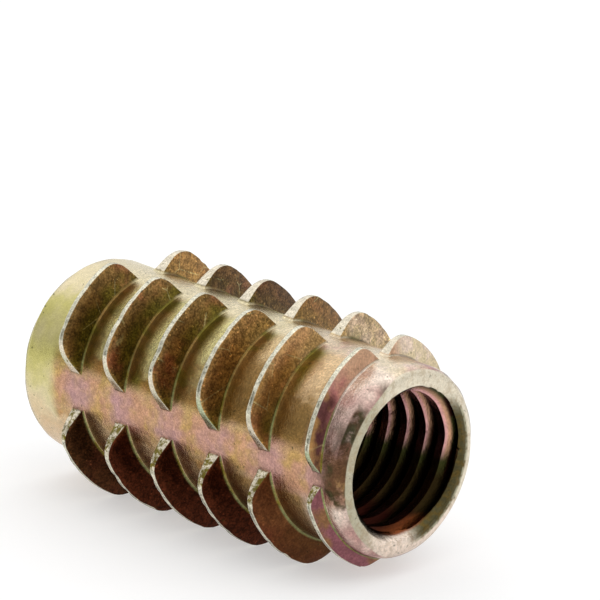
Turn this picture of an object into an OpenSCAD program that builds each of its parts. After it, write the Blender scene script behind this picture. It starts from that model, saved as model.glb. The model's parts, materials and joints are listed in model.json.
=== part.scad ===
// Threaded insert for wood: one die-cast sleeve that tapers towards its lead end.
// Coarse cutting fins run round it as a right-hand screw, broken by four V grooves.
// The bore takes a metric screw, and a hexagon socket at the drive end takes a key.
// It lies as it comes to rest, on the fin corners beside its lowest groove:
// the axis runs along X, the lead end towards +X, and the floor is at Z = 0.

/* [Sleeve] */
// Length from the drive face to the lead face
length = 23; // [15:0.5:40]
// Diameter of the body at the drive face
drive_d = 10.9; // [10.4:0.1:12]
// Diameter of the body at the lead face
lead_d = 9.5; // [9.2:0.1:10.2]
// Radius that rounds the rim of the drive face
drive_rim = 0.35; // [0.1:0.05:0.6]
// Radius that rounds the rim of the lead face
lead_rim = 0.45; // [0.1:0.05:0.6]

/* [Fins] */
// Diameter over the fins at the drive face
drive_fin_d = 14; // [13.2:0.1:15]
// Diameter over the fins at the lead face
lead_fin_d = 12.2; // [11.4:0.1:13]
// Thickness of a fin where it meets the body
fin_root = 0.8; // [0.6:0.02:1.2]
// Thickness of a fin at its crest
fin_crest = 0.3; // [0.2:0.02:0.5]
// How far a crest leans from the middle of its fin towards the drive face
fin_lean = 0.09; // [0:0.01:0.15]
// Share of a fin's height over which the end nearer the drive face bends into the crest
start_round = 0.5; // [0.1:0.05:0.9]
// Share of a fin's height over which the end nearer the lead face bends into the crest
end_round = 0.6; // [0.1:0.05:0.9]
// Pitch of the fins
fin_pitch = 3.43; // [2.5:0.01:5]
// Distance from the drive face to the middle of the first fin, where it starts
first_fin = 2.75; // [1:0.05:4]
// Length at the lead end over which the fins get lower
lead_in = 4; // [1:0.1:6]
// How much lower the fins would be at the lead face
lead_in_drop = 0.95; // [0:0.05:1]
// Angle by which the last fin stops short of its groove
last_short = 12; // [0:1:20]

/* [Grooves] */
// Number of V grooves that break the fins
grooves = 4; // [3:1:5]
// Angle between a groove's middle and its face where a fin starts
start_face_angle = 47.5; // [45:0.5:60]
// Angle between a groove's middle and its face where a fin ends
end_face_angle = 55; // [45:0.5:60]
// Width of the bare strip that a groove leaves on the body at the lead face
strip_w = 0.45; // [0.3:0.05:1.2]
// Groove that faces the floor, counted from the one where the thread starts
down_groove = 3; // [0:1:4]

/* [Bore] */
// Inner diameter of the screw thread, over its crests
bore_d = 6.9; // [5:0.05:7.2]
// Width of the bevel round the mouth of the bore
mouth_bevel = 0.4; // [0.1:0.05:0.5]

/* [Socket] */
// Width across the flats of the hexagon socket
socket_af = 8; // [7.4:0.1:8.4]
// Depth of the hexagon socket
socket_depth = 6; // [3:0.5:9]
// Width of the bevel that leads from the socket into the bore
socket_bevel = 0.3; // [0.1:0.05:0.4]

/* [Hidden] */

drive_r = drive_d / 2;
lead_r = lead_d / 2;
bore_r = bore_d / 2;
lap = 0.3;           // how far a fin's foot reaches into the body
cut = 1;             // how far a cutter passes a face
fin_steps = 8;       // straight steps along the crest of one fin
corner_steps = 4;    // steps round each upper corner of a fin
rim_steps = 6;       // steps round a quarter of a rim

groove_share = 360 / grooves;

// Fins that fit between the first one and the lead face
fin_rise = fin_pitch / grooves;
fin_count = floor((length - first_fin) / fin_rise);

// Height of a fin's middle at a turn from the thread's start, and radii at a height
function fin_z(turn) = first_fin + fin_pitch * turn / 360;
function body_r(z) = drive_r + (lead_r - drive_r) * z / length;
function full_crest_r(z) = (drive_fin_d + (lead_fin_d - drive_fin_d) * z / length) / 2;
function crest_r(z) = full_crest_r(z) - lead_in_drop * max(0, 1 - (length - z) / lead_in);

// Half the thickness of a fin at a depth below its crest, and how far its middle leans
flank_slope = (fin_root - fin_crest) / (drive_fin_d - drive_d);
function half_thick(depth) = fin_crest / 2 + depth * flank_slope;
function lean(z, r) = fin_lean * (r - body_r(z)) / (full_crest_r(z) - body_r(z));

// A fin's side is -1 for its start and 1 for its end. Seen from the groove's middle, the face
// there slants by an angle, and lies so far from the axis that it leaves the bare strip
function face_angle(side) = side < 0 ? start_face_angle : end_face_angle;
function face_dist(side) = lead_r * sin(face_angle(side) - asin(strip_w / 2 / lead_r));

// Turn from a fin's middle to its end face, at a given distance from the axis
function face_turn(r, side) = groove_share / 2 - face_angle(side) + asin(face_dist(side) / r);

function polar(r, turn) = [r * cos(turn), r * sin(turn)];
function turn_of(p) = atan2(p.y, p.x);
function bend(a, b, c, t) = (1 - t) * (1 - t) * a + 2 * t * (1 - t) * b + t * t * c;

// A quarter circle about (x, y) that rounds a rim, from one angle to another
function rim_arc(x, y, r, from, to) =
    [for (i = [0:rim_steps]) [x, y] + polar(r, from + (to - from) * i / rim_steps)];

// Seen along the axis, with the fin's middle at angle 0, an end face bends into the crest;
// short turns the face towards the middle
function corner_curve(r, height, side, short = 0) =
    let (
        c = height * (side < 0 ? start_round : end_round),
        on_face = polar(r - c, side * (face_turn(r - c, side) - short)),
        sharp = polar(r, side * (face_turn(r, side) - short)),
        on_crest = polar(r, side * (face_turn(r, side) - short - atan(c / r)))
    )
    [for (i = [0:corner_steps]) bend(on_face, sharp, on_crest, i / corner_steps)];

// The whole outline of a fin in that view, from end face to end face
function fin_outline(middle, short) =
    let (
        r = crest_r(fin_z(middle)),
        r0 = crest_r(fin_z(middle - face_turn(r, -1))),
        r1 = crest_r(fin_z(middle + face_turn(r, 1))),
        body = body_r(fin_z(middle)),
        start = corner_curve(r0, r0 - body, -1),
        end = corner_curve(r1, r1 - body, 1, short),
        from = turn_of(start[corner_steps]),
        step = (turn_of(end[corner_steps]) - from) / fin_steps,
        crest = [for (i = [1:fin_steps - 1]) from + i * step]
    )
    concat(
        start,
        [for (turn = crest) polar(crest_r(fin_z(middle + turn)), turn)],
        [for (i = [corner_steps:-1:0]) end[i]]
    );

// Two points of a fin, one on each flank, at a distance r from the axis and at a turn
function flank_points(middle, r, turn) =
    let (
        on_screw = fin_z(middle + turn),
        half = half_thick(crest_r(on_screw) - r),
        z = on_screw - lean(on_screw, r),
        p = polar(r, middle + turn)
    )
    [[p.x, p.y, z - half], [p.x, p.y, z + half]];

// The point of a fin corner that lies lowest when the groove beside it faces the floor:
// its distance below the axis, and its distance to the side
function corner_foot(z, side) =
    let (
        r = full_crest_r(z),
        down = polar(1, side * groove_share / 2),
        across = [-down.y, down.x],
        curve = corner_curve(r, r - body_r(z), side),
        reach = [for (p = curve) p * down],
        low = max(reach)
    )
    [low, abs(curve[search(low, reach)[0]] * across)];

// The roll that sets both rows of corners on the floor, and how far down they then reach
function rest_roll_at(z) =
    let (a = corner_foot(z, -1), b = corner_foot(z, 1))
    atan((a[0] - b[0]) / (a[1] + b[1]));
function rest_reach(z) =
    let (a = corner_foot(z, -1), b = corner_foot(z, 1))
    (a[0] * b[1] + b[0] * a[1]) / (a[1] + b[1]) * cos(rest_roll_at(z));
rest_roll = rest_roll_at(length / 2);
rest_tilt = atan((rest_reach(0) - rest_reach(length)) / length);
axis_height = rest_reach(length / 2) / cos(rest_tilt);

module sleeve_blank() {
    rotate_extrude($fn = 96)
        polygon(concat(
            [[0, 0]],
            rim_arc(drive_r - drive_rim, drive_rim, drive_rim, -90, 0),
            rim_arc(lead_r - lead_rim, length - lead_rim, lead_rim, 0, 90),
            [[0, length]]
        ));
}

// One fin: its foot lies inside the body, and its flanks follow the screw
module fin(middle, short = 0) {
    outline = fin_outline(middle, short);
    last = len(outline) - 1;
    turns = [for (p = outline) turn_of(p)];
    foot_r = body_r(fin_z(middle)) - lap;
    foot_start = -face_turn(foot_r, -1);
    foot_end = face_turn(foot_r, 1) - short;
    foot_step = (foot_end - foot_start) / (turns[last] - turns[0]);
    points = [
        for (i = [0:last])
            let (
                foot = flank_points(middle, foot_r, foot_start + (turns[i] - turns[0]) * foot_step),
                crest = flank_points(middle, norm(outline[i]), turns[i])
            )
            each [foot[0], crest[0], crest[1], foot[1]]
    ];
    sides = [
        for (i = [0:last - 1])
            for (c = [0:3])
                let (a = 4 * i + c, b = 4 * i + (c + 1) % 4)
                each [[a, b, b + 4], [a, b + 4, a + 4]]
    ];
    e = 4 * last;
    ends = [[0, 3, 2], [0, 2, 1], [e, e + 1, e + 2], [e, e + 2, e + 3]];
    polyhedron(points, concat(sides, ends));
}

module fins() {
    for (i = [0:fin_count - 1])
        fin((i + 0.5) * groove_share, i == fin_count - 1 ? last_short : 0);
}

// What cuts the last fin off level with the lead face
module lead_trim() {
    translate([0, 0, length])
        cylinder(h = fin_pitch, r = drive_fin_d / 2 + cut, $fn = 96);
}

module bore() {
    translate([0, 0, socket_depth])
        cylinder(h = length - socket_depth + cut, r = bore_r, $fn = 96);
    translate([0, 0, length - mouth_bevel])
        cylinder(h = 2 * mouth_bevel, r1 = bore_r, r2 = bore_r + 2 * mouth_bevel, $fn = 96);
}

module socket() {
    translate([0, 0, -cut])
        linear_extrude(height = socket_depth + cut)
            circle(d = socket_af / cos(30), $fn = 6);
    translate([0, 0, socket_depth])
        cylinder(h = socket_bevel, r1 = bore_r + socket_bevel, r2 = bore_r, $fn = 96);
}

// The insert upright, the drive face at Z = 0 and the groove where the thread starts at +X
module upright_insert() {
    difference() {
        union() {
            sleeve_blank();
            fins();
        }
        lead_trim();
        bore();
        socket();
    }
}

module insert() {
    color([0.78, 0.70, 0.52])
        translate([0, 0, axis_height])
            rotate([0, 90 + rest_tilt, 0])
                translate([0, 0, -length / 2])
                    rotate([0, 0, rest_roll - down_groove * groove_share])
                        upright_insert();
}

insert();
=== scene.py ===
"""The finished look of a threaded insert for wood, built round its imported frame.

One die-cast zinc sleeve with coarse outer fins, a fine inner thread and a yellow,
iridescent passivated finish. Lengths are in millimetres until the mesh is made.
"""
import json
import math

import bmesh
import bpy
from mathutils import Matrix, Vector, noise


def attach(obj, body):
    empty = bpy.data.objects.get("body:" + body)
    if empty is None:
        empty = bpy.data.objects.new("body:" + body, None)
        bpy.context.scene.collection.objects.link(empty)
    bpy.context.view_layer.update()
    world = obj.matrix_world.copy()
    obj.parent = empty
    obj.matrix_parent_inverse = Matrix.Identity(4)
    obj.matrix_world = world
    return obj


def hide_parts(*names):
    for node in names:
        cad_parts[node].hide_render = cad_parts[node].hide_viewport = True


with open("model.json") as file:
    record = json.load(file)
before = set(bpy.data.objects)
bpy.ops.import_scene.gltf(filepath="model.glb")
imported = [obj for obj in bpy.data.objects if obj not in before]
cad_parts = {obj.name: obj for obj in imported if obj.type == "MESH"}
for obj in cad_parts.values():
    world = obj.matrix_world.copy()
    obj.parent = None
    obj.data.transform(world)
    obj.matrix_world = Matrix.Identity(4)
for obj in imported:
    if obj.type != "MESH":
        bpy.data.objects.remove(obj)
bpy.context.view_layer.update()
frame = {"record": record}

MM = 0.001

# Sleeve, as in the part's source
LENGTH = 23.0
DRIVE_R = 5.45
LEAD_R = 4.75
DRIVE_RIM = 0.35
LEAD_RIM = 0.45

# Fins
DRIVE_FIN_R = 7.0
LEAD_FIN_R = 6.1
FIN_ROOT = 0.8
FIN_CREST = 0.3
FIN_LEAN = 0.09
START_ROUND = 0.5
END_ROUND = 0.6
PITCH = 3.43
FIRST_FIN = 2.75
LEAD_IN = 4.0
LEAD_IN_DROP = 0.95
LAST_SHORT = 12.0
FINS = 23
CREST_EDGE = 0.05     # radius that rounds the edges of a crest
ROOT_FILLET = 0.1     # radius between a fin and the body
WAVE = 0.015          # height of the waves in the cast surface
NICK = 0.12           # depth of the nicks in the crests

# Grooves
GROOVES = 4
SHARE = 360 / GROOVES
START_FACE_ANGLE = 47.5
END_FACE_ANGLE = 55.0
STRIP_W = 0.45

# Bore with its screw thread, and hexagon socket
MINOR_R = 3.45
BASIC_MINOR_R = 3.323  # where the standard profile's flat crest would lie
MAJOR_R = 4.0
THREAD_PITCH = 1.25
THREAD_AT = 21.9      # where a crest of the thread passes the start of the turns
MOUTH_R = 3.85
LEAD_AXIS_HEIGHT = 5.71  # of the screw axis over the floor, at the lead face
BURR = 0.12           # how far burrs reach into the mouth
RUNOUT = 0.4          # length over which the thread fades above the socket
SOCKET_AF = 8.0
SOCKET_CORNER_R = 4.55
SOCKET_DEPTH = 6.0
SOCKET_BEVEL = 0.3

# Welding
WELD_GAP = 2e-4
SHORTEST_EDGE = 1e-5

# Rows and columns of the surface
SLOTS = range(-2, 7)
VALLEY_ROWS = 8
STRIP_COLS, FACE_COLS, CORNER_COLS, CREST_COLS = 4, 6, 6, 16
HEX_TURN = 15.0       # a column runs through each corner of the socket


# ---------------------------------------------------------------- outer form

def polar(r, turn):
    return r * math.cos(math.radians(turn)), r * math.sin(math.radians(turn))


def fin_z(turn):
    """Distance of the fins' middle from the drive face, at a turn in degrees."""
    return FIRST_FIN + PITCH * turn / 360


def body_r(z):
    return DRIVE_R + (LEAD_R - DRIVE_R) * min(max(z, 0), LENGTH) / LENGTH


def full_height(z):
    """Height of a fin above the body where nothing lowers it."""
    z = min(max(z, 0), LENGTH)
    return DRIVE_FIN_R + (LEAD_FIN_R - DRIVE_FIN_R) * z / LENGTH - body_r(z)


def crest_height(z):
    return full_height(z) - LEAD_IN_DROP * max(0, 1 - max(LENGTH - z, 0) / LEAD_IN)


def face_angle(side):
    """Slant of a groove's face, where fins start (side -1) or end (side 1)."""
    return START_FACE_ANGLE if side < 0 else END_FACE_ANGLE


def face_dist(side):
    """Distance of a groove's face from the screw axis, which leaves the bare strip."""
    return LEAD_R * math.sin(math.radians(face_angle(side)) - math.asin(STRIP_W / 2 / LEAD_R))


def face_turn(r, side):
    """Turn from a fin's middle to its end face, at a distance from the screw axis."""
    return SHARE / 2 - face_angle(side) + math.degrees(math.asin(min(1, face_dist(side) / r)))


def face_r(turn, side):
    """Distance of an end face from the screw axis, at a turn from the fin's middle."""
    return face_dist(side) / math.sin(math.radians(turn - SHARE / 2 + face_angle(side)))


def corner_point(r, bend, share, side):
    """Radius and turn at a share of the way round the bend from an end face to the crest."""
    foot = polar(r - bend, face_turn(r - bend, side))
    sharp = polar(r, face_turn(r, side))
    top = polar(r, face_turn(r, side) - math.degrees(math.atan(bend / r)))
    x, y = ((1 - share) ** 2 * foot[i] + 2 * share * (1 - share) * sharp[i] + share ** 2 * top[i]
            for i in (0, 1))
    return math.hypot(x, y), math.degrees(math.atan2(y, x))


def half_columns(middle, side, short):
    """Columns from a groove's middle to a fin's middle: pairs of turn and fin height."""
    reach = face_turn(body_r(fin_z(middle)) + crest_height(fin_z(middle)), side)
    z = fin_z(middle + side * reach)
    body = body_r(z)
    crest = body + crest_height(z)
    bend = (START_ROUND if side < 0 else END_ROUND) * (crest - body)
    strip, face = face_turn(body, side), face_turn(crest - bend, side)
    columns = [(SHARE / 2 + (strip - short - SHARE / 2) * i / STRIP_COLS, 0.0)
               for i in range(STRIP_COLS)]
    for i in range(FACE_COLS):
        turn = strip + (face - strip) * i / FACE_COLS
        columns.append((turn - short, max(0.0, face_r(turn, side) - body)))
    for i in range(CORNER_COLS + 1):
        r, turn = corner_point(crest, bend, i / CORNER_COLS, side)
        columns.append((turn - short, r - body))
    start = columns[-1][0]
    knot = HEX_TURN if start > HEX_TURN + 1 else start / 2
    half = CREST_COLS // 2
    crest_turns = [start + (knot - start) * i / half for i in range(1, half + 1)]
    crest_turns += [knot * (1 - i / half) for i in range(1, half + 1)]
    return columns + [(t, crest_height(fin_z(middle + side * t))) for t in crest_turns]


def fin_columns(slot, quarter):
    """Columns across one quarter of a turn, from groove to groove, round a fin or its gap."""
    index = slot * GROOVES + quarter
    middle = (index + 0.5) * SHARE
    short = LAST_SHORT if index == FINS - 1 else 0.0
    start = [(-t, h) for t, h in half_columns(middle, -1, 0.0)]
    end = half_columns(middle, 1, short)[:-1]
    columns = start + end[::-1]
    if not 0 <= index < FINS:
        columns = [(t, 0.0) for t, _h in columns]
    return [(middle + t, h) for t, h in columns]


def fin_profile(z, height):
    """Section through a fin: pairs of distance along the sleeve and height over the body."""
    slope = (FIN_ROOT - FIN_CREST) / 2 / (DRIVE_FIN_R - DRIVE_R)
    crest = crest_height(z)
    fillet = min(ROOT_FILLET, 0.4 * height)
    edge = min(CREST_EDGE, 0.4 * height)

    def out(side, y, extra=0.0):
        half = FIN_CREST / 2 + (crest - y) * slope
        return side * (half + extra) - FIN_LEAN * y / full_height(z), y

    one_side = []
    for angle in (0, 30, 60, 90):
        a = math.radians(angle)
        spread = max(fillet, 0.05) * (1 - math.sin(a))
        one_side.append((fillet * (1 - math.cos(a)), spread))
    for share in (0.33, 0.67):
        one_side.append((fillet + (height - edge - fillet) * share, 0.0))
    for angle in (0, 45, 90):
        b = math.radians(angle)
        one_side.append((height - edge * (1 - math.sin(b)), -CREST_EDGE * (1 - math.cos(b))))
    near = [out(-1, y, extra) for y, extra in one_side]
    far = [out(1, y, extra) for y, extra in one_side[::-1]]
    land = [out(side * 0.2, height) for side in (-1, 0, 1)]
    return near + land + far


def sleeve_point(s):
    """Radius and distance from the drive face, at a length s along the sleeve's outline.

    Past each rim the outline runs inwards over the end face.
    """
    if s < DRIVE_RIM:
        turn = (DRIVE_RIM - s) / DRIVE_RIM
        past = DRIVE_RIM - s - DRIVE_RIM * math.pi / 2
        if past > 0:
            return DRIVE_R - DRIVE_RIM - past, 0.0
        return DRIVE_R - DRIVE_RIM * (1 - math.cos(turn)), DRIVE_RIM * (1 - math.sin(turn))
    if s > LENGTH - LEAD_RIM:
        turn = (s - LENGTH + LEAD_RIM) / LEAD_RIM
        past = s - LENGTH + LEAD_RIM - LEAD_RIM * math.pi / 2
        if past > 0:
            return LEAD_R - LEAD_RIM - past, LENGTH
        return LEAD_R - LEAD_RIM * (1 - math.cos(turn)), LENGTH - LEAD_RIM * (1 - math.sin(turn))
    return body_r(s), s


def outline_ends(drive_turn, lead_turn):
    """Lengths along the outline where the end faces meet the socket and the bore's mouth."""
    first = DRIVE_RIM - DRIVE_RIM * math.pi / 2 - (DRIVE_R - DRIVE_RIM - socket_r(drive_turn))
    last = LENGTH - LEAD_RIM + LEAD_RIM * math.pi / 2 + (LEAD_R - LEAD_RIM - mouth_r(lead_turn))
    return first, last


def mouth_r(turn):
    """Radius of the bore's mouth, with a few small burrs left by the tap."""
    spot = Vector((*polar(4.0, turn), 0.0))
    return MOUTH_R - BURR * max(0.0, noise.noise(spot * 2.2) - 0.25)


def socket_r(turn):
    """Distance of the hexagon socket's wall from the screw axis."""
    flat = math.radians(turn % 60 - 30)
    return min(SOCKET_AF / 2 / math.cos(flat), SOCKET_CORNER_R)


def outer_rows(slots, j):
    """Rows of one column of the outer surface: turn, length along the outline, height,
    share of the fin's height, side of the fin from -1 to 1, nearness to a fin's line, and
    how far the valley is behind, from 0 before a fin to 1 past it."""
    rows = []
    for columns in slots:
        turn, height = columns[j]
        z = fin_z(turn)
        profile = fin_profile(z, height)
        if rows:
            from_turn, from_s = rows[-1][0] + 360, rows[-1][1]
            to_s = z + profile[0][0]
            for i in range(1, VALLEY_ROWS + 1):
                f = i / (VALLEY_ROWS + 1)
                rows.append((from_turn + (turn - from_turn) * f,
                             from_s + (to_s - from_s) * f, 0.0, 0.0, 0.0, abs(2 * f - 1), 1 - f))
        middle = len(profile) // 2
        for i, (offset, y) in enumerate(profile):
            share = y / max(crest_height(z), 0.01)
            rows.append((turn, z + offset, y, share, (i - middle) / middle, 1.0, float(i > middle)))
    return rows


def outer_grid():
    """Rows and columns of points over the outside and both end faces."""
    grid = []
    for quarter in range(GROOVES):
        slots = [fin_columns(slot, quarter) for slot in SLOTS]
        for j in range(len(slots[0]) - 1):
            rows = outer_rows(slots, j)
            first_turn, last_turn = rows[0][0], rows[-1][0]
            first, last = outline_ends(first_turn, last_turn)
            column = [(first_turn, first, 0.0, 0.0, 0.0, 0.0, 0.0)]
            for turn, s, *form in rows:
                if s <= first:
                    turn, s = first_turn, first
                if s >= last:
                    turn, s = last_turn, last
                column.append((turn, s, *form))
            column.append((last_turn, last, 0.0, 0.0, 0.0, 0.0, 1.0))
            grid.append(column)
    return grid


def outer_points(grid):
    points, marks = [], []
    for column in grid:
        for turn, s, height, share, side, near, past in column:
            r, z = sleeve_point(s)
            points.append((*polar(r + height, turn), z))
            across = (turn % SHARE) / SHARE
            groove = abs(2 * across - 1)
            marks.append(((share, 0.5 + side / 2, near, 1.0), (z / LENGTH, groove, past, 1.0),
                          (float(across > 0.5), 0.0, 0.0, 1.0)))
    return points, marks


# ---------------------------------------------------------------- bore, thread and socket

def thread_section():
    """One turn of the screw thread: pairs of distance down the bore and depth."""
    crest = THREAD_PITCH / 8 + (MINOR_R - BASIC_MINOR_R) * math.tan(math.radians(30))
    root = THREAD_PITCH / 16
    middle = THREAD_PITCH / 2
    depth = MAJOR_R - MINOR_R
    slope = (crest + middle - root) / 2
    return [
        (0.0, 0.0), (crest, 0.0), (slope, depth / 2), (middle - root, depth),
        (middle + root, depth), (THREAD_PITCH - slope, depth / 2), (THREAD_PITCH - crest, 0.0),
    ]


def bore_rows(turn, lead_turn):
    """Rows of one column down the bore: radius, distance from the drive face, thread depth."""
    section = thread_section()
    mouth = mouth_r(lead_turn)
    top = THREAD_AT + THREAD_PITCH * (turn / 360 + 2)
    rows = []
    for k in range(int((LENGTH - SOCKET_DEPTH) / THREAD_PITCH) + 5):
        for down, depth in section:
            z = min(max(top - k * THREAD_PITCH - down, SOCKET_DEPTH + SOCKET_BEVEL), LENGTH)
            depth *= min(1.0, max(0.0, (z - SOCKET_DEPTH - SOCKET_BEVEL) / RUNOUT))
            bevel = max(0.0, z - LENGTH + mouth - MINOR_R)
            r = min(MINOR_R + max(depth, bevel), mouth + LENGTH - z)
            rows.append((r, z, depth / (MAJOR_R - MINOR_R)))
    return rows


def socket_rows(turn, _lead_turn):
    """Rows from the foot of the bore over the socket's floor and out along its wall."""
    wall = socket_r(turn)
    foot = MINOR_R + SOCKET_BEVEL
    rows = [(MINOR_R, SOCKET_DEPTH + SOCKET_BEVEL, 0.0), (foot, SOCKET_DEPTH, 0.0),
            ((foot + wall) / 2, SOCKET_DEPTH, 0.0)]
    return rows + [(wall, SOCKET_DEPTH * (1 - i / 4), 0.0) for i in range(5)]


def inner_points(grid, rows_of):
    points, marks = [], []
    for column in grid:
        drive_turn = round(column[0][0], 6) % 360
        lead_turn = round(column[-1][0], 6) % 360
        lead_turn += 360 * round((drive_turn - lead_turn) / 360)
        for r, z, depth in rows_of(drive_turn, lead_turn):
            turn = drive_turn + (lead_turn - drive_turn) * z / LENGTH
            points.append((*polar(r, turn), z))
            marks.append(((depth, 0.5, 0.0, 1.0), (z / LENGTH, 0.0, 0.0, 1.0), (0.0, 0.0, 0.0, 1.0)))
    return points, marks


# ---------------------------------------------------------------- the mesh

def grid_faces(columns, rows, shift, base, flip):
    """Quads of a grid whose last column joins the first one, shift rows further on."""
    faces = []
    for c in range(columns):
        wraps = c == columns - 1
        right = 0 if wraps else c + 1
        for n in range(rows - 1):
            up, down = (n, n + 1)
            if wraps:
                up, down = (min(max(n + shift, 0), rows - 1), min(max(n + 1 + shift, 0), rows - 1))
            quad = [base + c * rows + n, base + right * rows + up,
                    base + right * rows + down, base + c * rows + n + 1]
            faces.append(quad[::-1] if flip else quad)
    return faces


def screw_axis():
    """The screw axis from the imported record: a point on it, and the way to the lead end."""
    mount = next(m for m in frame["record"]["mounts"] if m["name"] == "screw_thread")
    return Vector(mount["pos_m"]), -Vector(mount["axis"])


def rest_roll():
    """Turn that sets both rows of fin corners beside the lowest groove on the floor."""
    z = LENGTH / 2
    r = body_r(z) + full_height(z)
    feet = []
    for side, share in ((-1, START_ROUND), (1, END_ROUND)):
        low = max((corner_point(r, share * full_height(z), i / 4, side) for i in range(5)),
                  key=lambda p: p[0] * math.cos(math.radians(SHARE / 2 - p[1])))
        off = math.radians(SHARE / 2 - low[1])
        feet.append((low[0] * math.cos(off), low[0] * math.sin(off)))
    (a, across_a), (b, across_b) = feet
    return math.degrees(math.atan((a - b) / (across_a + across_b)))


def into_frame():
    """From the upright insert in millimetres to where it lies, in metres."""
    point, along = screw_axis()
    side = Vector((0, 1, 0))
    up = along.cross(side)
    axes = Matrix((side, up, along)).transposed().to_4x4()
    bore_middle = (SOCKET_DEPTH + SOCKET_BEVEL + LENGTH - MOUTH_R + MINOR_R) / 2
    spin = Matrix.Rotation(math.radians(rest_roll()), 4, "Z")
    return (Matrix.Translation(point) @ axes @ spin
            @ Matrix.Translation((0, 0, -bore_middle * MM)) @ Matrix.Scale(MM, 4))


def uneven(point):
    """A point moved by the small waves of a die-cast surface, with nicks along the crests."""
    r = math.hypot(point.x, point.y)
    wave = noise.noise(point * 0.9) + 0.4 * noise.noise(point * 2.1)
    across = noise.noise(point * 0.8 + Vector((9, 0, 0))) + 0.4 * noise.noise(point * 2.3)
    high = min(max((r - body_r(point.z)) / full_height(point.z), 0), 1)
    nick = max(0, noise.noise(point * 1.7 + Vector((0, 7, 0))) - 0.15) * max(0, high - 0.8) / 0.2
    outward = Vector((point.x, point.y, 0)) / r
    inside = 0 < point.z < LENGTH
    lift = Vector((0, 0, WAVE * across * high * inside))
    return point + outward * (WAVE * wave - NICK * nick) + lift


def insert_mesh():
    grid = outer_grid()
    count = len(grid)
    points, marks, faces, finishes = [], [], [], []
    shift = len(fin_profile(0, 0)) + VALLEY_ROWS
    for (new_points, new_marks), step, flip in (
        (outer_points(grid), shift, False),
        (inner_points(grid, bore_rows), -len(thread_section()), False),
        (inner_points(grid, socket_rows), 0, False),
    ):
        new_faces = grid_faces(count, len(new_points) // count, step, len(points), flip)
        finishes += [0 if not faces else 1] * len(new_faces)
        faces += new_faces
        points += new_points
        marks += new_marks
    points = [uneven(Vector(point)) for point in points]
    mesh = bpy.data.meshes.new("insert")
    mesh.from_pydata(points, [], faces)
    mesh.polygons.foreach_set("material_index", finishes)
    for name, mark in zip(("fin_zones", "places", "ends"), zip(*marks)):
        layer = mesh.color_attributes.new(name, "FLOAT_COLOR", "POINT")
        layer.data.foreach_set("color", [v for values in mark for v in values])
    return mesh


def weld(mesh):
    """Joins the outside, the bore and the socket along their shared edges into one closed skin."""
    bm = bmesh.new()
    bm.from_mesh(mesh)
    bmesh.ops.remove_doubles(bm, verts=bm.verts, dist=WELD_GAP)
    bmesh.ops.dissolve_degenerate(bm, edges=bm.edges, dist=SHORTEST_EDGE)
    bmesh.ops.recalc_face_normals(bm, faces=bm.faces)
    bm.to_mesh(mesh)
    bm.free()


# ---------------------------------------------------------------- finish

def rgb(red, green, blue):
    """A colour written as on a paint card, from 0 to 255, in the shaders' linear scale."""
    return tuple(((v / 255 + 0.055) / 1.055) ** 2.4 if v > 10 else v / 3295
                 for v in (red, green, blue)) + (1.0,)


class Board:
    """Short ways to put nodes on a material's or a group's tree."""

    def __init__(self, tree):
        self.tree = tree

    def set(self, node, key, value):
        if isinstance(value, bpy.types.NodeSocket):
            self.tree.links.new(value, node.inputs[key])
        else:
            node.inputs[key].default_value = value

    def add(self, kind, inputs=None, **settings):
        node = self.tree.nodes.new(kind)
        for name, value in settings.items():
            setattr(node, name, value)
        for key, value in (inputs or {}).items():
            self.set(node, key, value)
        return node

    def math(self, operation, a, b=0.0, clamp=False):
        node = self.add("ShaderNodeMath", {0: a, 1: b}, operation=operation, use_clamp=clamp)
        return node.outputs[0]

    def ramp(self, value, low, high, to_low=0.0, to_high=1.0):
        """A smooth step of value between low and high."""
        inputs = {"Value": value, "From Min": low, "From Max": high,
                  "To Min": to_low, "To Max": to_high}
        node = self.add("ShaderNodeMapRange", inputs, interpolation_type="SMOOTHSTEP")
        return node.outputs["Result"]

    def mix(self, share, a, b, blend="MIX"):
        node = self.add("ShaderNodeMix", data_type="RGBA", blend_type=blend)
        for key, value in ((0, share), (6, a), (7, b)):
            self.set(node, key, value)
        return node.outputs[2]

    def cloud(self, place, scale, detail=2.0, offset=0.0, rough=0.5):
        """Noise from 0 to 1 over a place in millimetres; scale is spots per millimetre."""
        inputs = {"Vector": place, "Scale": scale, "Detail": detail, "Roughness": rough, "W": offset}
        return self.add("ShaderNodeTexNoise", inputs, noise_dimensions="4D").outputs["Fac"]


def new_material(name):
    material = bpy.data.materials.new(name)
    material.use_nodes = True
    board = Board(material.node_tree)
    return material, board, material.node_tree.nodes["Principled BSDF"]


def place_mm(board):
    """Where a point lies, in millimetres."""
    here = board.add("ShaderNodeTexCoord").outputs["Object"]
    return board.add("ShaderNodeVectorMath", {0: here, 1: (1000, 1000, 1000)},
                     operation="MULTIPLY").outputs[0]


def attribute(board, name):
    layer = board.add("ShaderNodeAttribute", attribute_name=name).outputs["Color"]
    return board.add("ShaderNodeSeparateColor", {"Color": layer}).outputs


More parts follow.
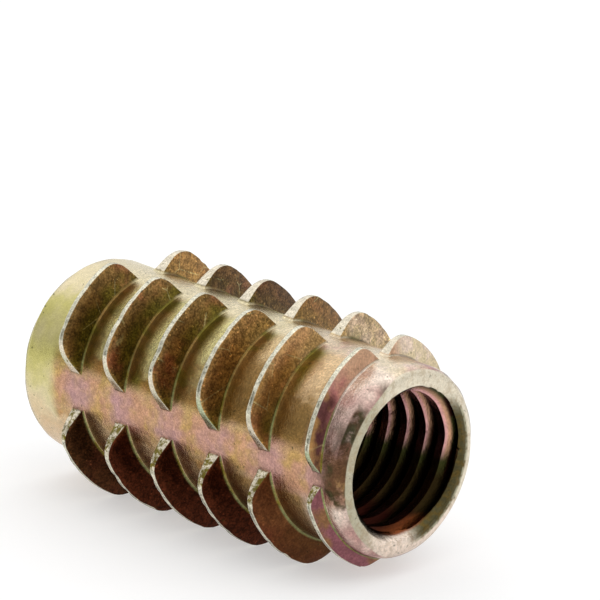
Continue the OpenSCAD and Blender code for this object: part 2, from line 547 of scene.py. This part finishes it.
CHAMPAGNE = rgb(222, 208, 170)
PEARL = rgb(234, 216, 200)
OLIVE = rgb(196, 188, 116)
SAND = rgb(212, 182, 140)
STONE = rgb(158, 154, 128)
SLATE = rgb(78, 72, 48)
BARK = rgb(92, 64, 44)
SALMON = rgb(196, 150, 118)
ROSE = rgb(186, 144, 136)
LILAC = rgb(182, 142, 144)
STRAW = rgb(214, 206, 146)
GOLD = rgb(192, 156, 98)
OCHRE = rgb(170, 120, 62)
BRONZE = rgb(186, 142, 84)
RUSSET = rgb(170, 110, 74)
UMBER = rgb(146, 114, 66)
MOSS = rgb(120, 108, 44)
MAUVE = rgb(182, 118, 126)
LEAF = rgb(160, 178, 138)
SILVER = rgb(228, 224, 202)
CREAM = rgb(222, 212, 190)
PINE = rgb(50, 52, 24)
# Painted shade: the darkest brown, put on the flanks and inside the bore where they lie in shade.
DEEP_SHADE = rgb(40, 15, 10)
EMBER = rgb(180, 100, 54)
CORAL = rgb(214, 160, 156)
# Painted shade: a reddish brown for the low flanks, where light bounced between the fins turns red.
SHADE_RED = rgb(160, 84, 50)


def grain_group():
    """Fine speckle of the blasted casting: a mask from 0 to 1 and a height."""
    group = bpy.data.node_groups.new("casting_grain", "ShaderNodeTree")
    group.interface.new_socket("Place", in_out="INPUT", socket_type="NodeSocketVector")
    group.interface.new_socket("Fineness", in_out="INPUT", socket_type="NodeSocketFloat")
    group.interface.new_socket("Speckle", in_out="OUTPUT", socket_type="NodeSocketFloat")
    group.interface.new_socket("Spark", in_out="OUTPUT", socket_type="NodeSocketFloat")
    group.interface.new_socket("Height", in_out="OUTPUT", socket_type="NodeSocketFloat")
    board = Board(group)
    given = board.add("NodeGroupInput").outputs
    fine = board.cloud(given["Place"], given["Fineness"], 3, 3.0, 0.65)
    coarse = board.cloud(given["Place"], board.math("MULTIPLY", given["Fineness"], 0.3), 2, 7.0)
    both = board.math("ADD", board.math("MULTIPLY", fine, 0.65), board.math("MULTIPLY", coarse, 0.35))
    result = board.add("NodeGroupOutput")
    board.set(result, "Speckle", board.ramp(both, 0.38, 0.68))
    bright = board.cloud(given["Place"], board.math("MULTIPLY", given["Fineness"], 0.8), 1, 31.0)
    board.set(result, "Spark", board.ramp(bright, 0.66, 0.76))
    board.set(result, "Height", both)
    return group


def product(board, *masks):
    result = masks[0]
    for mask in masks[1:]:
        result = board.math("MULTIPLY", result, mask)
    return result


def inverse(board, mask):
    return board.math("SUBTRACT", 1.0, mask, clamp=True)


def collar_colour(board, place, high, along):
    """Champagne and olive at the drive end, blushing pink towards the lead end; the darker sand low
    down is painted shade.
    """
    middle = product(board, board.ramp(high, 4.0, 7.5), board.ramp(high, 11.3, 9.5))
    olive = product(board, middle, board.ramp(board.cloud(place, 0.3, 2, 1.0), 0.3, 0.5, 0.4, 1.0))
    # Painted shade: darker sand towards the bottom.
    colour = board.mix(board.ramp(high, 5.5, 2.5), CHAMPAGNE, SAND)
    colour = board.mix(olive, colour, OLIVE)
    blush = board.mix(board.ramp(board.cloud(place, 0.35, 2, 4.0), 0.4, 0.6), PEARL, ROSE)
    return board.mix(board.ramp(along, 0.55, 0.85), colour, blush)


def valley_colour(board, place, high, along, past):
    """Gold between the fins: painted shade just past a fin, paler straw high up as painted light, and
    painted shade below the top at the lead end.
    """
    gold = board.mix(board.ramp(board.cloud(place, 0.8, 3, 5.0), 0.4, 0.6), GOLD, OCHRE)
    gold = board.mix(board.ramp(high, 5.2, 4.0), gold, SAND)
    mossy = board.mix(board.ramp(board.cloud(place, 0.9, 3, 42.0), 0.38, 0.58), MOSS, UMBER)
    gold = board.mix(product(board, board.ramp(high, 5.6, 7.0), 0.55), gold, mossy)
    # Painted shade: mossy and darker just past a fin's lead side.
    foot = product(board, board.ramp(past, 0.45, 0.8), board.ramp(high, 4.0, 6.0))
    gold = board.mix(foot, gold, mossy)
    # Painted light: paler straw high up, just before the next fin.
    straw = product(board, board.ramp(past, 0.9, 0.55), board.ramp(high, 7.5, 9.3))
    gold = board.mix(straw, gold, board.mix(board.ramp(along, 0.5, 0.75), STRAW, SAND))
    # Painted shade: darker umber below the top, towards the lead end.
    lead_end_shade = product(board, board.ramp(along, 0.5, 0.7), board.ramp(high, 9.8, 8.6), 0.9)
    return board.mix(lead_end_shade, gold, UMBER)


def strip_tints(board, place, high, fins, groove, near, colour):
    """Puts the strips' colours on: warm and pink low down, and champagne along the ridge as a painted
    highlight.
    """
    low = product(board, fins, board.ramp(high, 9.0, 6.5))
    warm = board.mix(board.ramp(board.cloud(place, 0.9, 3, 9.0), 0.42, 0.6), SALMON, GOLD)
    colour = board.mix(product(board, low, board.ramp(groove, 0.6, 0.8)), colour, warm)
    # Painted highlight: champagne along the ridge, high up between the fins.
    ridge = product(board, fins, board.ramp(high, 9.6, 10.6), board.ramp(groove, 0.6, 0.8), 0.6)
    colour = board.mix(ridge, colour, CHAMPAGNE)
    edge = board.math("ADD", near, board.ramp(board.cloud(place, 1.2, 3, 13.0), 0.3, 0.7, -0.3, 0.3))
    neck = product(board, low, board.ramp(groove, 0.6, 0.9), board.ramp(edge, 0.1, 1.2), 0.85)
    pink = board.mix(board.ramp(board.cloud(place, 0.7, 2, 10.0), 0.4, 0.6), ROSE, LILAC)
    return board.mix(neck, colour, pink)


def drive_rim_and_painted_shade(board, place, high, along, colour):
    """Adds umber on the drive face's rim, a painted dark reflection on the lead collar, and painted
    shade at the lip's rounding.
    """
    drive_rim = product(board, board.ramp(along, 0.012, 0.006), board.ramp(along, 0.0, 0.002))
    # Umber in patches on the rounding of the drive face's rim.
    rim_umber = product(board, drive_rim, board.ramp(board.cloud(place, 1.5, 3, 26.0), 0.4, 0.6), 0.7)
    colour = board.mix(rim_umber, colour, UMBER)
    # Painted dark reflection on the lead collar, and painted shade at the lip's rounding.
    collar = product(board, board.ramp(along, 0.92, 0.97), board.ramp(high, 4.5, 5.4),
                     board.ramp(high, 8.4, 6.6))
    rim = product(board, board.ramp(along, 0.978, 0.985), board.ramp(high, 9.9, 8.5),
                  board.ramp(high, 3.8, 4.6))
    patchy = board.ramp(board.cloud(place, 1.4, 4, 21.0, 0.7), 0.3, 0.52, 0.4, 0.95)
    dark = board.mix(board.ramp(board.cloud(place, 1.1, 3, 23.0), 0.42, 0.6), PINE, BARK)
    dark_reflection_and_shade = board.math("MULTIPLY", board.math("MAXIMUM", collar, rim), patchy)
    return board.mix(dark_reflection_and_shade, colour, dark)


def body_colour(board, place, high, along, groove, near, past):
    """The body between the fins: its collar, valleys, strips, the drive rim's umber, and painted dark
    reflection and shade at the lead end.
    """
    fins = board.ramp(along, 0.09, 0.13)
    valley = product(board, fins, board.ramp(along, 0.93, 0.88), board.ramp(groove, 0.84, 0.62))
    colour = board.mix(valley, collar_colour(board, place, high, along),
                       valley_colour(board, place, high, along, past))
    colour = strip_tints(board, place, high, fins, groove, near, colour)
    return drive_rim_and_painted_shade(board, place, high, along, colour)


def near_flank(board, place, high, along, share):
    """Flanks as they are on the near side: browns darker than the body, partly the finish's own tone
    and partly painted shade, with more painted shade at the foot and part way up near the lead end.
    """
    # Browns darker than the body: partly the finish's own tone, partly painted shade.
    colour = board.mix(board.ramp(board.cloud(place, 0.5, 3, 2.0), 0.46, 0.66), UMBER, RUSSET)
    # Painted shade: mossier and darker at the foot of the fins low down.
    foot = product(board, board.ramp(share, 0.75, 0.25), board.ramp(high, 4.5, 6.5, 0.3, 1.0),
                   board.ramp(board.cloud(place, 0.7, 3, 6.0), 0.3, 0.5))
    colour = board.mix(foot, colour, MOSS)
    bright = product(board, board.ramp(board.cloud(place, 0.4, 2, 8.0), 0.52, 0.66),
                     board.ramp(high, 10.0, 8.5))
    warmer = product(board, board.ramp(along, 0.45, 0.62), board.ramp(high, 7.0, 9.0), 0.6)
    colour = board.mix(board.math("MAXIMUM", bright, warmer), colour, BRONZE)
    colour = board.mix(board.ramp(along, 0.84, 0.97), colour, MAUVE)
    # Painted shade: dark brown part way up the flanks near the lead end.
    middle = product(board, board.ramp(along, 0.85, 0.9), board.ramp(high, 4.5, 6.0),
                     board.ramp(high, 9.6, 8.4), 0.75)
    colour = board.mix(middle, colour, DEEP_SHADE)
    top = product(board, board.ramp(high, 9.2, 10.6), board.ramp(along, 0.68, 0.88), 0.5)
    colour = board.mix(top, colour, SAND)
    streak = product(board, board.ramp(along, 0.8, 0.92),
                     board.ramp(board.cloud(place, 0.8, 3, 24.0), 0.48, 0.62),
                     board.ramp(high, 10.6, 9.4), 0.75)
    return board.mix(streak, colour, board.mix(board.ramp(high, 9.5, 7), UMBER, BRONZE))


def far_flank(board, place, along, colour):
    """Recolours the flanks beyond the ridge: bronze, then bark, then pale at the lead end."""
    behind = board.ramp(across_mm(board, place), 0.5, 1.5)
    first = product(board, behind, board.ramp(along, 0.26, 0.2), 0.8)
    colour = board.mix(first, colour, BRONZE)
    second = product(board, behind, board.ramp(along, 0.24, 0.32), board.ramp(along, 0.66, 0.54), 0.75)
    colour = board.mix(second, colour, BARK)
    lead = product(board, behind, board.ramp(along, 0.66, 0.84), 0.75)
    pinkish = board.mix(board.ramp(board.cloud(place, 1.0, 3, 27.0), 0.4, 0.6), CHAMPAGNE, PEARL)
    return board.mix(lead, colour, pinkish)


def flank_colour(board, place, high, along, share):
    """The fins' flanks: brown and mossy, pale at the lead end, with painted shade: reddish and dark low
    down, and a little darker along the top at the drive end.
    """
    colour = near_flank(board, place, high, along, share)
    colour = far_flank(board, place, along, colour)
    # Painted shade: the flanks turn reddish brown low down.
    reddish_shade = product(board, board.ramp(high, 6.4, 4.8), board.ramp(along, 0.15, 0.3),
                    board.ramp(along, 0.9, 0.75))
    colour = board.mix(reddish_shade, colour, SHADE_RED)
    # Painted shade: the flanks darken low down, and a little along the top at the drive end.
    ridge = product(board, board.ramp(high, 8.6, 10.6), board.ramp(along, 0.74, 0.62), 0.15)
    low = product(board, board.ramp(high, 6.6, 4.4), board.ramp(along, 0.9, 0.72, 0.5, 0.82))
    return board.mix(board.math("MAXIMUM", ridge, low), colour, DEEP_SHADE)


def crest_colour(board, place, high, from_middle, share, ending):
    """The crests: silvery edges, painted as highlights, and a broken dark line between; speckled end
    faces.
    """
    flecks = board.math("MULTIPLY", board.ramp(board.cloud(place, 5.0, 3, 19.0, 0.6), 0.54, 0.66), 0.4)
    broken = board.ramp(board.cloud(place, 2.6, 4, 14.0, 0.75), 0.44, 0.58)
    line = product(board, board.ramp(from_middle, 0.15, 0.02), broken,
                   board.ramp(high, 10.6, 8.6, 0.25, 0.75))
    # Painted highlight: the crests' lands are silvery.
    colour = board.mix(board.math("MAXIMUM", line, flecks), SILVER, PINE)
    speckle = board.ramp(board.cloud(place, 3.5, 3, 15.0, 0.7), 0.42, 0.58)
    mossy = board.mix(speckle, MOSS, CREAM)
    leaf = product(board, board.ramp(board.cloud(place, 0.3, 2, 16.0), 0.42, 0.56),
                   board.ramp(high, 8.6, 7.6), 0.75)
    leafy = board.mix(leaf, CREAM, LEAF)
    leafy = board.mix(board.ramp(board.cloud(place, 3.0, 3, 17.0, 0.7), 0.6, 0.7), leafy, MOSS)
    return board.mix(board.ramp(share, 0.97, 0.9), colour, board.mix(ending, mossy, leafy))


def lip_group():
    """The lip round the mouth: cream, paler low down as a painted highlight, greyer on the near side as
    painted shade, and speckled olive and dark low on the far side as painted shade towards the bore.
    """
    group = bpy.data.node_groups.new("lip_colour", "ShaderNodeTree")
    group.interface.new_socket("Place", in_out="INPUT", socket_type="NodeSocketVector")
    group.interface.new_socket("From axis", in_out="INPUT", socket_type="NodeSocketFloat")
    group.interface.new_socket("Colour", in_out="OUTPUT", socket_type="NodeSocketColor")
    board = Board(group)
    given = board.add("NodeGroupInput").outputs
    place, from_axis = given["Place"], given["From axis"]
    across, high = board.add("ShaderNodeSeparateXYZ", {0: place}).outputs[1:]
    speckle = board.ramp(board.cloud(place, 3.0, 4, 18.0, 0.75), 0.46, 0.6)
    far_side = product(board, board.ramp(across, 0.0, 1.6), board.ramp(high, 9.0, 7.4))
    # Painted highlight: paler low down.
    colour = board.mix(board.ramp(high, 3.6, 2.2), CREAM, PEARL)
    # Painted shade: greyer on the near side.
    colour = board.mix(board.ramp(across, -1.5, -3.0, 0.0, 0.7), colour, STONE)
    # Painted shade: speckled olive and dark towards the bore, low on the far side.
    far_edge_shade = product(board, board.ramp(from_axis, 4.27, 4.13), far_side)
    colour = board.mix(far_edge_shade, colour, board.mix(speckle, STONE, PINE))
    inside = product(board, board.ramp(from_axis, 4.12, 4.02), far_side)
    colour = board.mix(inside, colour, board.mix(speckle, SLATE, PINE))
    colour = board.mix(product(board, speckle, 0.3), colour, UMBER)
    board.set(board.add("NodeGroupOutput"), "Colour", colour)
    return group


def lip_colour(board, place):
    """The lip's colour at a place, and that place's distance from the axis."""
    from_axis = radius_mm(board, place)
    lip = board.add("ShaderNodeGroup", node_tree=LIP)
    board.set(lip, "Place", place)
    board.set(lip, "From axis", from_axis)
    return lip.outputs["Colour"], from_axis


def rim_zone(board, place, along, from_axis):
    """Where the lip shows: over its rounding too, but only on the face at the near side."""
    across = across_mm(board, place)
    edge = board.ramp(across, -2.8, -0.8, 4.34, 4.62)
    inner = board.ramp(board.math("SUBTRACT", from_axis, edge), 0.04, -0.04)
    return product(board, inner, board.ramp(along, 0.97, 0.975))


def radius_mm(board, place):
    """Distance from the axis at the lead end."""
    level = board.add("ShaderNodeVectorMath", {0: place, 1: (0, 1, 1)}, operation="MULTIPLY").outputs[0]
    return board.add("ShaderNodeVectorMath", {0: level, 1: (0, 0, LEAD_AXIS_HEIGHT)},
                     operation="DISTANCE").outputs["Value"]


def across_mm(board, place):
    """Distance to the far side of the screw axis; negative at the near side."""
    return board.add("ShaderNodeSeparateXYZ", {0: place}).outputs["Y"]


def height_mm(board, place):
    """Height over the floor."""
    return board.add("ShaderNodeSeparateXYZ", {0: place}).outputs["Z"]


def marked(board, place, colour, scratched):
    """Adds small dark pits everywhere, and a few fine scratches where scratched is 1."""
    pits = board.ramp(board.cloud(place, 4.5, 1, 33.0), 0.7, 0.77)
    colour = board.mix(product(board, pits, 0.6), colour, PINE)
    cells = board.add("ShaderNodeTexVoronoi", {"Vector": place, "Scale": 0.45},
                      feature="DISTANCE_TO_EDGE").outputs["Distance"]
    scratch = product(board, board.ramp(cells, 0.016, 0.005), scratched,
                      board.ramp(board.cloud(place, 0.8, 2, 35.0), 0.46, 0.56), 0.45)
    return board.mix(scratch, colour, STRAW)


def speckled(board, place, colour, shader, strength):
    """Puts the casting's grain on a colour and on the bump of its shader."""
    grain = board.add("ShaderNodeGroup", node_tree=GRAIN)
    board.set(grain, "Place", place)
    board.set(grain, "Fineness", 9.0)
    sparks = board.math("MULTIPLY", board.math("MULTIPLY", grain.outputs["Spark"], strength), 1.2)
    spread = board.math("ADD", board.math("SUBTRACT", grain.outputs["Speckle"], 0.5), sparks)
    shade = board.math("ADD", board.math("MULTIPLY", spread, strength), 1.0)
    board.set(shader, "Base Color", board.mix(1.0, colour, shade, "MULTIPLY"))
    bump = board.add("ShaderNodeBump", {"Height": grain.outputs["Height"], "Strength": 0.7,
                                        "Distance": 0.00004})
    board.set(shader, "Normal", bump.outputs["Normal"])


def root_line(board, place, high, side, share, colour):
    """Paints a thin line of shade in the crease where a fin meets the body on its lead side, darker low
    down, with a pale painted highlight along it.
    """
    # Painted shade: a thin dark line in the crease at the fin's foot.
    root = product(board, board.ramp(side, 0.8, 0.88), board.ramp(share, 0.004, 0.02),
                   board.ramp(share, 0.12, 0.07), board.ramp(high, 9.5, 8.0, 0.4, 1.0))
    # Painted highlight: pale leaf green in places along the crease.
    pale = product(board, board.ramp(high, 9.0, 7.0),
                   board.ramp(board.cloud(place, 1.0, 2, 20.0), 0.35, 0.55), 0.35)
    dark = board.mix(board.ramp(high, 9.5, 7.5), PINE, MOSS)
    return board.mix(root, colour, board.mix(pale, dark, LEAF))


def outer_finish():
    """Outside: the body, then the flanks, roots, crests and lip over it, and the grain."""
    material, board, shader = new_material("yellow_passivated_zinc")
    place = place_mm(board)
    high = height_mm(board, place)
    share, side, near = attribute(board, "fin_zones")[:3]
    along, groove, past = attribute(board, "places")[:3]
    ending = attribute(board, "ends")[0]
    from_middle = board.math("ABSOLUTE", board.math("SUBTRACT", side, 0.5))
    on_fin = board.ramp(share, 0.02, 0.1)
    drift = board.math("ADD", high, board.ramp(board.cloud(place, 0.7, 3, 40.0), 0.3, 0.7, -0.8, 0.8))
    colour = body_colour(board, place, drift, along, groove, near, past)
    colour = board.mix(on_fin, colour, flank_colour(board, place, drift, along, share))
    colour = root_line(board, place, high, side, share, colour)
    land = product(board, board.ramp(from_middle, 0.17, 0.12), board.ramp(share, 0.05, 0.12))
    colour = board.mix(land, colour, crest_colour(board, place, high, from_middle, share, ending))
    lip, from_axis = lip_colour(board, place)
    rim = rim_zone(board, place, along, from_axis)
    colour = board.mix(rim, colour, lip)
    flank = board.math("SUBTRACT", on_fin, land, clamp=True)
    colour = marked(board, place, colour, product(board, flank, board.ramp(high, 6.5, 8.0)))
    rough = product(board, board.ramp(along, 0.08, 0.14), inverse(board, rim))
    strength = board.ramp(rough, 0, 1, 0.2, 0.5)
    darker = product(board, flank, board.ramp(along, 0.9, 0.7, 0.0, 0.7))
    speckled(board, place, colour, shader, board.math("ADD", strength, darker))
    shader.inputs["Metallic"].default_value = 1.0
    board.set(shader, "Roughness", board.ramp(flank, 0, 1, 0.26, 0.38))
    return material


def bore_finish():
    """Inside: the same finish with painted shade throughout, and pink crests high up near the mouth
    painted as lit.
    """
    material, board, shader = new_material("dark_bore")
    place = place_mm(board)
    high = height_mm(board, place)
    depth = attribute(board, "fin_zones")[0]
    along = attribute(board, "places")[0]
    across = across_mm(board, place)
    crest = board.mix(board.ramp(depth, 0.05, 0.4), CORAL, SALMON)
    # Painted light: the crests show pink where lit, high up near the mouth; elsewhere they are painted
    # as shade.
    lit = product(board, board.ramp(high, 4.9, 5.9), board.ramp(along, 0.5, 0.6),
                  board.ramp(along, 0.98, 0.97))
    crest = board.mix(lit, board.mix(board.ramp(across, 1.0, 2.4), DEEP_SHADE, PINE), crest)
    # Painted shade: the thread's roots are dark.
    root = board.mix(board.ramp(board.cloud(place, 0.6, 2, 22.0), 0.45, 0.6), PINE, DEEP_SHADE)
    colour = board.mix(board.ramp(depth, 0.45, 0.75), crest, root)
    # Painted shade: darker low down.
    colour = board.mix(board.ramp(high, 5.0, 4.0, 0.0, 0.6), colour, DEEP_SHADE)
    # Painted reflected light: an ember glow low in the bore near the mouth.
    glow = product(board, board.ramp(high, 2.7, 2.35), board.ramp(along, 0.94, 0.97), 0.4)
    colour = board.mix(glow, colour, EMBER)
    colour = board.mix(board.ramp(along, 0.985, 0.992), colour, lip_colour(board, place)[0])
    colour = board.mix(board.ramp(along, 0.42, 0.3), colour, GOLD)
    speckled(board, place, colour, shader, 0.4)
    shader.inputs["Metallic"].default_value = 1.0
    shader.inputs["Roughness"].default_value = 0.22
    return material


def paper():
    """White paper that shows as white to the camera and in the metal, and keeps the shadow."""
    material, board, shader = new_material("white_paper")
    shader.inputs["Base Color"].default_value = (0.62, 0.62, 0.62, 1)
    shader.inputs["Roughness"].default_value = 0.9
    ray = board.add("ShaderNodeLightPath").outputs
    seen = board.math("MAXIMUM", ray["Is Camera Ray"], ray["Is Glossy Ray"])
    seen = board.math("MAXIMUM", seen, ray["Is Transmission Ray"])
    shader.inputs["Emission Color"].default_value = (1, 1, 1, 1)
    board.set(shader, "Emission Strength", board.math("MULTIPLY", seen, 0.42))
    return material


def light_room():
    """A pale room, brighter overhead and behind than in front."""
    world = bpy.data.worlds.new("room")
    bpy.context.scene.world = world
    world.use_nodes = True
    board = Board(world.node_tree)
    backdrop = world.node_tree.nodes["Background"]
    way = board.add("ShaderNodeSeparateXYZ", {0: board.add("ShaderNodeTexCoord").outputs["Generated"]})
    up = way.outputs["Z"]
    front = board.ramp(way.outputs["Y"], 0.0, -0.9, 0.0, 0.4)
    dim = product(board, front, board.ramp(up, 0.0, 0.25))
    level = board.math("MULTIPLY", board.ramp(up, 0.1, 0.9, 0.92, 1.25), inverse(board, dim))
    backdrop.inputs["Color"].default_value = (1, 1, 1, 1)
    board.set(backdrop, "Strength", level)


GRAIN = grain_group()
LIP = lip_group()
mesh = insert_mesh()
weld(mesh)
mesh.transform(into_frame())
mesh.shade_smooth()
mesh.set_sharp_from_angle(angle=math.radians(50))
insert = bpy.data.objects.new("insert_body", mesh)
bpy.context.collection.objects.link(insert)
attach(insert, "root")
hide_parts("insert")

mesh.materials.append(outer_finish())
mesh.materials.append(bore_finish())

floor_mesh = bpy.data.meshes.new("floor")
floor_mesh.from_pydata([(-1, -1, 0), (1, -1, 0), (1, 1, 0), (-1, 1, 0)], [], [(0, 1, 2, 3)])
floor = bpy.data.objects.new("floor", floor_mesh)
bpy.context.collection.objects.link(floor)
floor_mesh.materials.append(paper())

camera = bpy.data.objects.new("camera", bpy.data.cameras.new("camera"))
bpy.context.collection.objects.link(camera)
camera.location = Vector((72.875, -69.223, 34.431)) * MM
camera.rotation_euler = [math.radians(a) for a in (77.219, -2.161, 45.444)]
camera.data.lens = 122.0
camera.data.sensor_width = 36.0
camera.data.clip_start = 0.001
bpy.context.scene.camera = camera

light_room()
bpy.context.scene.view_settings.view_transform = "Standard"
